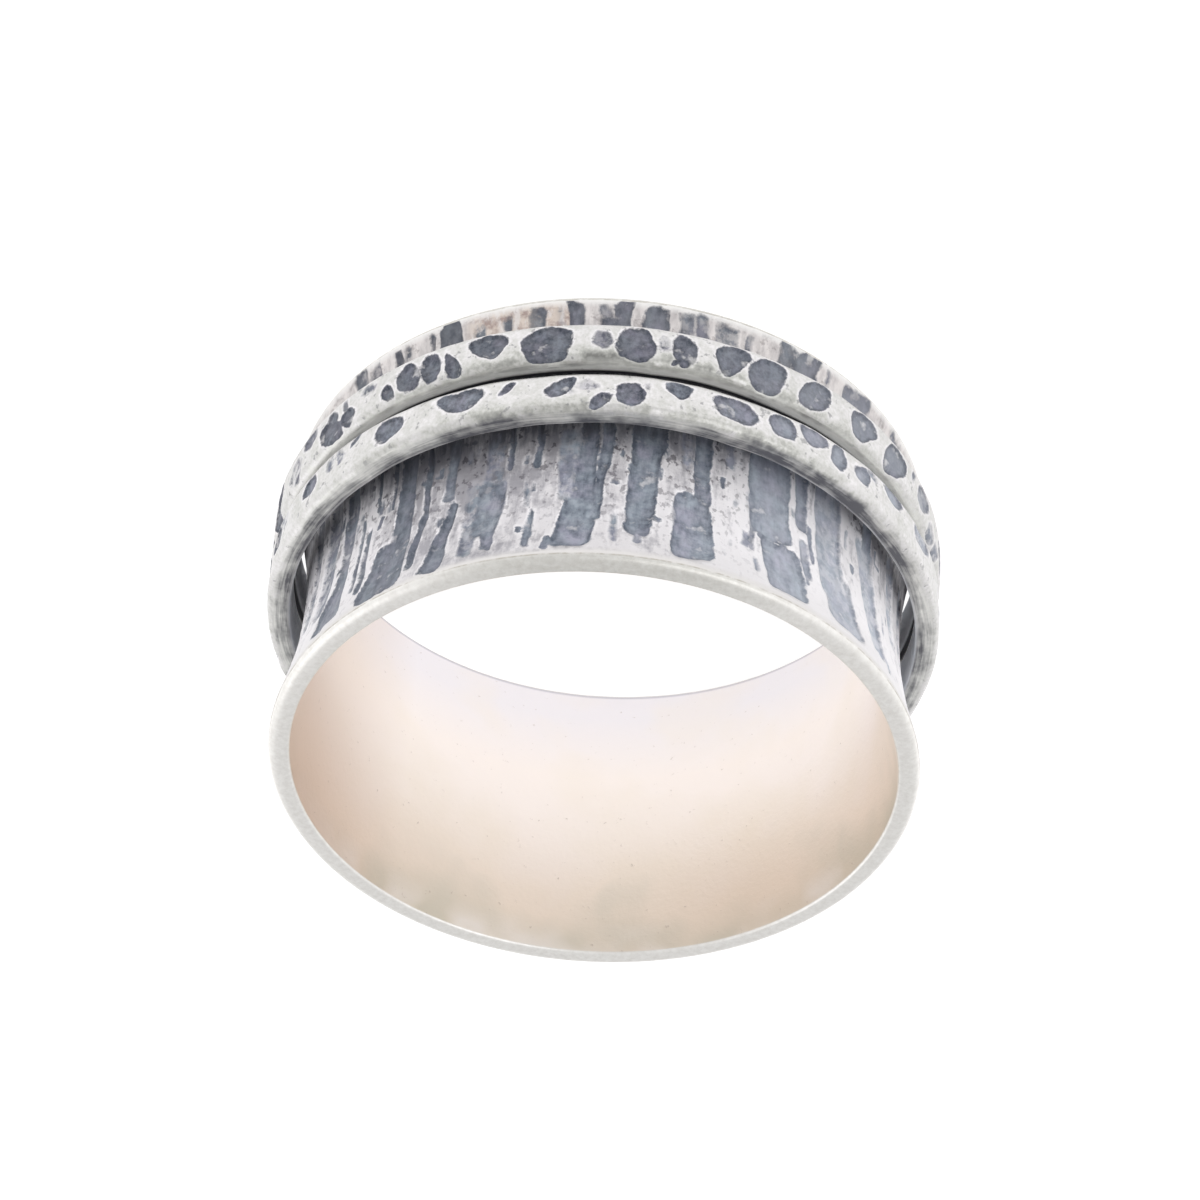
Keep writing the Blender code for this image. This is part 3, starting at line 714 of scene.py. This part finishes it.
def oxide_in_marks(tree, place, grain, pale, deep):
    """For a point: its share in a mark, the oxide's colour with a painted sheen towards -X, and, outside a
    mark, a painted highlight that is strongest at the outline.
    """
    reach, tone = attribute(tree, "reach"), attribute(tree, "tone")
    fine = noise(tree, place, 4500, 4.0, 0.6)
    mottle = noise(tree, place, 1700, 3.0, 0.6)
    chips = noise(tree, place, 2300, 4.0, 0.65)
    ragged = total(tree, reach, remap(tree, fine, 0.3, 0.7, -0.09, 0.09),
                   remap(tree, chips, 0.35, 0.65, -0.09, 0.09))
    soft = remap(tree, tone, 0.4, 0.9, 0.50, 0.14)
    inside = maths(tree, "DIVIDE", maths(tree, "ADD", ragged, 0.10), soft)
    inside = maths(tree, "MAXIMUM", maths(tree, "SMOOTH_MIN", inside, 1.0, 0.1), 0.0)
    # A faint mark is patchy, and a dark one shows a few flecks of bare metal.
    patches = remap(tree, chips, 0.44, 0.56, 1.0, 0.0)
    faint = maths(tree, "MULTIPLY", patches, remap(tree, tone, 0.35, 0.85, 1.0, 0.05))
    flecks = maths(tree, "MAXIMUM", faint, remap(tree, mottle, 0.60, 0.70, 0.0, 0.55))
    inside = maths(tree, "MULTIPLY", inside, maths(tree, "SUBTRACT", 1.0, flecks))
    brink = remap(tree, ragged, 0.08, 0.65, 1.0, 0.0)
    near_highlight = maths(tree, "MULTIPLY", remap(tree, ragged, -0.38, -0.10), remap(tree, tone, 0.3, 0.9, 0.2, 1.0))
    depth = total(tree, maths(tree, "MULTIPLY", brink, 0.32),
                  remap(tree, mottle, 0.3, 0.7, 0.0, 0.62), remap(tree, grain, 0.3, 0.7, -0.32, 0.32),
                  remap(tree, fine, 0.3, 0.7, 0.28, -0.28), remap(tree, tone, 0.3, 1.0, -0.22, 0.12))
    tinge = noise(tree, place, 1100, 2.0, 0.5)
    tinged = tuple(part * shift for part, shift in zip(pale, OXIDE_TINGE))
    pale = mix(tree, remap(tree, tinge, 0.40, 0.62), pale, tinged)
    # The oxide gets a painted sheen, paler towards -X.
    sideways = parts_of(tree, place)["X"]
    flank_light = remap(tree, sideways, *SHEEN_AT)
    oxide = mix(tree, remap(tree, depth, 0.0, 1.0), pale, deep)
    oxide = mix(tree, maths(tree, "MULTIPLY", flank_light, remap(tree, brink, 0.0, 1.0, 0.50, 0.20)), oxide,
                OXIDE_SHEEN)
    return inside, oxide, near_highlight


def bark_ridges(tree, place, height, grain, near_highlight):
    """Colour of the metal between the marks: pitted towards the spinners, duller on the lips, with painted
    highlights along the marks and painted light on the flanks.
    """
    chatter = noise(tree, stretched(tree, place, (1, 1, 1.3)), 2300, 5.0, 0.68)
    broad = noise(tree, place, 520, 2.0, 0.5)
    specks = noise(tree, stretched(tree, place, (1, 1, 0.8)), 4300, 2.0)
    flank_light = attribute(tree, "flank_light")
    low = maths(tree, "MULTIPLY", remap(tree, height, 0.92, 0.50), remap(tree, height, 0.12, 0.30))
    soil = total(tree, maths(tree, "MULTIPLY", chatter, 0.4), maths(tree, "MULTIPLY", grain, 0.6),
                 remap(tree, low, 0.0, 1.0, -0.08, 0.07), remap(tree, broad, 0.35, 0.65, -0.07, 0.07))
    # Painted highlights along the marks' outlines and painted light on the flanks make the ridges cleaner and
    # brighter.
    soil = maths(tree, "SUBTRACT", soil, maths(tree, "MULTIPLY", near_highlight, 0.07))
    soil = maths(tree, "SUBTRACT", soil, maths(tree, "MULTIPLY", flank_light, 0.13))
    bright = mix(tree, maths(tree, "MAXIMUM", near_highlight, flank_light), RIDGE, RIDGE_LIT)
    bright = mix(tree, remap(tree, height, 0.80, 0.92, 0.0, 0.6), bright, RIDGE_HIGH)
    ridge = mix(tree, remap(tree, soil, 0.44, 0.63), bright, RIDGE_SOILED)
    pits = maths(tree, "MULTIPLY", remap(tree, specks, 0.575, 0.64), remap(tree, low, 0.0, 1.0, 0.15, 0.85))
    pits = maths(tree, "MULTIPLY", pits, remap(tree, flank_light, 0.65, 1.0, 1.0, 0.25))
    ridge = mix(tree, pits, ridge, PITS)
    ridge = mix(tree, remap(tree, height, 0.950, 0.972), ridge, UPPER_LIP)
    lower_lip = maths(tree, "MULTIPLY", remap(tree, height, 0.16, 0.11), 0.75)
    beige = mix(tree, remap(tree, grain, 0.40, 0.62), *LOWER_LIP)
    ridge = mix(tree, lower_lip, ridge, beige)
    dots = maths(tree, "MULTIPLY", remap(tree, chatter, 0.55, 0.62, 0.0, 0.6), lower_lip)
    ridge = mix(tree, dots, ridge, LIP_DOTS)
    stained = maths(tree, "MULTIPLY", attribute(tree, "patina"), remap(tree, grain, 0.40, 0.52, 0.20, 0.8))
    brown = mix(tree, remap(tree, chatter, 0.42, 0.58), *PATINA)
    ridge = mix(tree, stained, ridge, brown)
    return mix(tree, remap(tree, height, 0.045, 0.022), ridge, LOWER_EDGE), chatter


def warm_inside(tree, place, height, fine):
    """Colour of the inside: cool white at its foot, peach in the middle, olive in patches at its head, and
    painted shade on the thin edge where it meets the floor.
    """
    cloud = noise(tree, place, 330, 2.0, 0.5)
    drift = noise(tree, place, 400, 1.5, 0.5)
    dull = total(tree, remap(tree, height, 0.40, 1.0), remap(tree, cloud, 0.35, 0.65, -0.20, 0.20))
    pearl = mix(tree, remap(tree, height, 0.12, 0.38), INSIDE_FOOT, INSIDE_PEARL)
    warm = mix(tree, remap(tree, dull, 0.0, 0.65), pearl, INSIDE_PEACH)
    olive = mix(tree, remap(tree, drift, 0.42, 0.60), *INSIDE_OLIVE)
    warm = mix(tree, remap(tree, dull, 0.70, 1.15), warm, olive)
    pale = maths(tree, "MULTIPLY", remap(tree, height, 0.90, 0.97), remap(tree, drift, 0.44, 0.58, 0.0, 0.8))
    warm = mix(tree, pale, warm, INSIDE_PALE)
    sideways = parts_of(tree, place)["X"]
    warm = mix(tree, remap(tree, sideways, *INSIDE_TAN_AT, 0.0, 0.8), warm, INSIDE_TAN)
    # Painted shade on a thin edge at the foot, where the ring stands on the floor.
    warm = mix(tree, remap(tree, height, 0.019, 0.010, 0.0, 0.6), warm, INSIDE_FOOT_SHADE)
    return mix(tree, remap(tree, fine, 0.66, 0.74, 0.0, 0.5), warm, INSIDE_SPECKS)


def base_material():
    """Silver of the base band: bark outside, a plain rim and a warm satin inside."""
    material, tree, shader, place = silver_material("base silver")
    inside, rim = attribute(tree, "inside"), attribute(tree, "rim")
    parts = parts_of(tree, place)
    height = maths(tree, "DIVIDE", parts["Z"], RING_WIDTH)
    grain = noise(tree, stretched(tree, place, (1, 1, 0.22)), 3600, 4.0, 0.65)
    fine = noise(tree, place, 5200, 4.0, 0.65)
    marked, oxide, near_highlight = oxide_in_marks(tree, place, grain, *BARK_OXIDE)
    # It is darkest towards +X and on the lower lip.
    oxide = mix(tree, remap(tree, parts["X"], *OXIDE_LEFT_AT, 0.0, 0.40), oxide, BARK_OXIDE_LEFT)
    oxide = mix(tree, remap(tree, height, 0.20, 0.14, 0.0, 0.45), oxide, BARK_OXIDE_LOW)
    ridge, chatter = bark_ridges(tree, place, height, grain, near_highlight)
    colour = mix(tree, marked, ridge, oxide)

    # Soot gathers next to the spinners, out of a cloth's reach, and painted shadow under them darkens the
    # bark further.
    soot_shadow = maths(tree, "MULTIPLY", attribute(tree, "soot_shadow"), remap(tree, grain, 0.35, 0.6, 0.45, 0.90))
    colour = mix(tree, soot_shadow, colour, SOOT_SHADOW)

    colour = mix(tree, inside, colour, warm_inside(tree, place, height, fine))
    # The rim gets painted shade in front and is painted lighter elsewhere.
    rim_lit_share = remap(tree, parts["Y"], *RIM_SHADE_AT)
    bright = mix(tree, rim_lit_share, RIM_FRONT_SHADED[0], RIM_ROUND_LIT[0])
    dim = mix(tree, rim_lit_share, RIM_FRONT_SHADED[1], RIM_ROUND_LIT[1])
    land = mix(tree, remap(tree, fine, 0.35, 0.7), bright, dim)
    colour = mix(tree, rim, colour, land)

    # Dirt dots the crease where the bark meets the rim.
    crease = maths(tree, "MULTIPLY", remap(tree, rim, 0.15, 0.45), remap(tree, rim, 0.9, 0.6))
    crease = maths(tree, "MULTIPLY", crease, remap(tree, chatter, 0.40, 0.60, 0.0, 0.7))
    colour = mix(tree, maths(tree, "MULTIPLY", crease, remap(tree, inside, 0.0, 0.1, 1.0, 0.0)), colour,
                 CREASE_DIRT)
    tree.links.new(colour, shader.inputs["Base Color"])

    outside = maths(tree, "SUBTRACT", 1.0, maths(tree, "MAXIMUM", inside, rim))
    dirt = maths(tree, "MULTIPLY", maths(tree, "MAXIMUM", marked, soot_shadow), outside)
    tree.links.new(remap(tree, dirt, 0.0, 1.0, 0.42, OXIDE_ROUGHNESS), shader.inputs["Roughness"])
    # The painted light on the flanks also takes shine off the metal there.
    flank_light_outside = maths(tree, "MULTIPLY", attribute(tree, "flank_light"), outside)
    shine = remap(tree, dirt, 0.0, 1.0, 1.0, OXIDE_METALLIC)
    shine = maths(tree, "MULTIPLY", shine, remap(tree, flank_light_outside, 0.2, 1.0, 1.0, 0.35))
    tree.links.new(shine, shader.inputs["Metallic"])
    rough = maths(tree, "ADD", fine, maths(tree, "MULTIPLY", maths(tree, "ADD", chatter, grain), outside))
    bump = node(tree, "ShaderNodeBump", {"Height": rough, "Strength": 0.5, "Distance": GRAIN_HEIGHT})
    tree.links.new(bump.outputs["Normal"], shader.inputs["Normal"])
    return material


def spinner_material():
    """Silver of the spinners: bright face, dark dents, streaked grey sides and a plain bright inside, with
    painted highlights round the dents and painted light and shadow on the sides.
    """
    material, tree, shader, place = silver_material("spinner silver")
    inward, hidden = attribute(tree, "inward"), attribute(tree, "inside")
    fine = noise(tree, place, 8000, 4.0, 0.6)
    blotch = noise(tree, place, 1500, 3.0, 0.6)
    marked, oxide, near_highlight = oxide_in_marks(tree, place, fine, *DENT_OXIDE)

    # Streaks run along the filed sides: fine across the radius and long round the ring.
    parts = parts_of(tree, place)
    flat = node(tree, "ShaderNodeCombineXYZ", {"X": parts["X"], "Y": parts["Y"]}).outputs["Vector"]
    around = node(tree, "ShaderNodeVectorMath", {0: flat}, operation="NORMALIZE").outputs["Vector"]
    turn = parts_of(tree, around)
    across = maths(tree, "MULTIPLY", inward, 1.3)
    track = node(tree, "ShaderNodeCombineXYZ", {"X": turn["X"], "Y": turn["Y"], "Z": across})
    streak = noise(tree, track.outputs["Vector"], 6.0, 4.0, 0.6)
    side = remap(tree, maths(tree, "ADD", inward, remap(tree, blotch, 0.3, 0.7, -0.13, 0.13)), 0.16, 0.46)
    grime_and_light = attribute(tree, "grime_and_light")
    broad = noise(tree, place, 560, 2.0, 0.5)
    # Soil and painted shade darken the filed sides towards their inner edge, more on the upper spinner.
    soil_and_shade = total(tree, remap(tree, inward, 0.25, 0.80, 0.06, 0.56),
                   remap(tree, blotch, 0.3, 0.7, -0.28, 0.28), remap(tree, broad, 0.35, 0.65, -0.26, 0.26),
                   remap(tree, streak, 0.35, 0.65, -0.30, 0.30), remap(tree, grime_and_light, 0.0, 1.0, -0.40, 0.50))
    # The lower spinner's side is painted lighter than its metal, to make up for the shade in the gap.
    clean_and_lit_side = mix(tree, grime_and_light, SIDE_LOWER_LIT, SIDE_UPPER)
    filed = mix(tree, remap(tree, soil_and_shade, 0.0, 1.0), clean_and_lit_side, SIDE_SOIL_AND_SHADE)
    # A black line of painted shadow lies on the lower spinner's side in the gap between the spinners, and the
    # open side has a painted highlight along its inner edge.
    gap_shadow = maths(tree, "MULTIPLY", remap(tree, inward, 0.66, 0.77), remap(tree, grime_and_light, 0.0, 0.3, 1.0, 0.0))
    filed = mix(tree, gap_shadow, filed, SIDE_GAP_SHADOW)
    edge_highlight = maths(tree, "MULTIPLY", remap(tree, inward, 0.84, 0.90, 0.0, 0.75), remap(tree, grime_and_light, 0.0, 0.3))
    edge_highlight = maths(tree, "MULTIPLY", edge_highlight, remap(tree, broad, 0.42, 0.58, 1.0, 0.15))
    filed = mix(tree, edge_highlight, filed, SIDE_EDGE_HIGHLIGHT)

    dull = maths(tree, "MULTIPLY", remap(tree, attribute(tree, "up"), 0.60, 1.0),
                 remap(tree, blotch, 0.35, 0.60, 0.3, 1.3))
    dull = maths(tree, "MULTIPLY", dull, remap(tree, grime_and_light, 0.0, 0.6, 1.3, 0.75))
    scuffs = total(tree, remap(tree, fine, 0.3, 0.7, -0.3, 0.3),
                   remap(tree, blotch, 0.3, 0.7, 0.25, 0.75), dull)
    # Painted highlights brighten the face round the dents.
    near_highlight = maths(tree, "MULTIPLY", near_highlight, remap(tree, blotch, 0.38, 0.62, 0.2, 0.8))
    scuffs = maths(tree, "SUBTRACT", scuffs, near_highlight)
    face = mix(tree, remap(tree, scuffs, 0.0, 1.0), *FACE)
    face = mix(tree, remap(tree, scuffs, 0.9, 1.9, 0.0, 0.9), face, FACE_SOILED)
    nips = noise(tree, place, 3900, 2.0)
    face = mix(tree, remap(tree, nips, 0.64, 0.70, 0.0, 0.6), face, FACE_NIPS)
    colour = mix(tree, side, face, filed)
    oxide = mix(tree, remap(tree, grime_and_light, 0.0, 0.6, 0.3, 0.0), oxide, DENT_OXIDE_LOWER)
    colour = mix(tree, marked, colour, oxide)
    colour = mix(tree, hidden, colour, SPINNER_INSIDE)
    tree.links.new(colour, shader.inputs["Base Color"])

    dirt = maths(tree, "MAXIMUM", marked, maths(tree, "MULTIPLY", side, remap(tree, soil_and_shade, 0.2, 1.0)))
    tree.links.new(remap(tree, dirt, 0.0, 1.0, 0.40, OXIDE_ROUGHNESS), shader.inputs["Roughness"])
    shine = remap(tree, dirt, 0.0, 1.0, 1.0, OXIDE_METALLIC)
    shine = maths(tree, "MINIMUM", shine, remap(tree, side, 0.0, 1.0, 1.0, 0.25))
    tree.links.new(shine, shader.inputs["Metallic"])
    bump = node(tree, "ShaderNodeBump", {"Height": maths(tree, "ADD", fine, streak), "Strength": 0.45,
                                         "Distance": GRAIN_HEIGHT})
    tree.links.new(bump.outputs["Normal"], shader.inputs["Normal"])
    return material


def floor_material():
    """Matte white paper, lit from within so that it shows no edge."""
    paper = bpy.data.materials.new("paper")
    paper.use_nodes = True
    shader = paper.node_tree.nodes["Principled BSDF"]
    shader.inputs["Base Color"].default_value = (*PAPER, 1)
    shader.inputs["Roughness"].default_value = 1.0
    shader.inputs["Specular IOR Level"].default_value = 0.0
    shader.inputs["Emission Color"].default_value = (1, 1, 1, 1)
    shader.inputs["Emission Strength"].default_value = PAPER_GLOW
    return paper


def studio_sky():
    """An even sky, brighter to the left and right than in front and overhead."""
    world = bpy.data.worlds.new("studio")
    world.use_nodes = True
    tree = world.node_tree
    way = node(tree, "ShaderNodeTexCoord").outputs["Generated"]
    sideways = parts_of(tree, way)["X"]
    strength = remap(tree, maths(tree, "MULTIPLY", sideways, sideways), 0.0, 0.8, SKY_MIDDLE, SKY_SIDES)
    sky = tree.nodes["Background"]
    sky.inputs["Color"].default_value = (1.0, 1.0, 1.0, 1)
    tree.links.new(strength, sky.inputs["Strength"])
    return world


def stage():
    """A pale floor under the ring, soft lamps and the sky."""
    bpy.ops.mesh.primitive_circle_add(vertices=96, radius=FLOOR_RADIUS, fill_type="NGON")
    floor = bpy.context.object
    floor.name = "floor"
    floor.data.materials.append(floor_material())
    bpy.context.scene.world = studio_sky()
    for place, size, power in LAMPS:
        lamp = bpy.data.lights.new("softbox", "AREA")
        lamp.shape = "DISK"
        lamp.size = size
        lamp.energy = power
        holder = bpy.data.objects.new("softbox", lamp)
        holder.location = place
        aim = Vector(place) - Vector((0, 0, HALF_WIDTH))
        holder.rotation_euler = aim.to_track_quat("Z", "Y").to_euler()
        bpy.context.scene.collection.objects.link(holder)


def add_camera():
    """The camera at the photo's angle. The picture's top is towards the ring's foot."""
    back = Vector((0, -math.sin(CAMERA_TILT), math.cos(CAMERA_TILT)))
    level_right = Vector((-1, 0, 0))
    level_up = back.cross(level_right)
    right = math.cos(CAMERA_ROLL) * level_right + math.sin(CAMERA_ROLL) * level_up
    up = math.cos(CAMERA_ROLL) * level_up - math.sin(CAMERA_ROLL) * level_right
    place = (Vector((0, 0, HALF_WIDTH)) + CAMERA_DISTANCE * back
             - CAMERA_SIDE * right - CAMERA_RISE * up)
    lens = bpy.data.cameras.new("camera")
    lens.sensor_width = SENSOR
    lens.lens = SENSOR * PIXELS_A_METRE * CAMERA_DISTANCE / PICTURE
    lens.clip_start = 0.01
    camera = bpy.data.objects.new("camera", lens)
    turn = Matrix((right, up, back)).transposed()
    camera.matrix_world = Matrix.Translation(place) @ turn.to_4x4()
    bpy.context.scene.collection.objects.link(camera)
    bpy.context.scene.camera = camera


add_camera()
stage()
bpy.context.scene.view_settings.view_transform = "Standard"

base = base_band(base_material())
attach(base, "base")
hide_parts("base_band")

silver = spinner_material()
for node_name, body, dents, grime_and_light, seed in SPINNERS:
    spinner = spinner_band(node_name, dents, grime_and_light, seed, silver)
    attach(spinner, body)
    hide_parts(node_name)
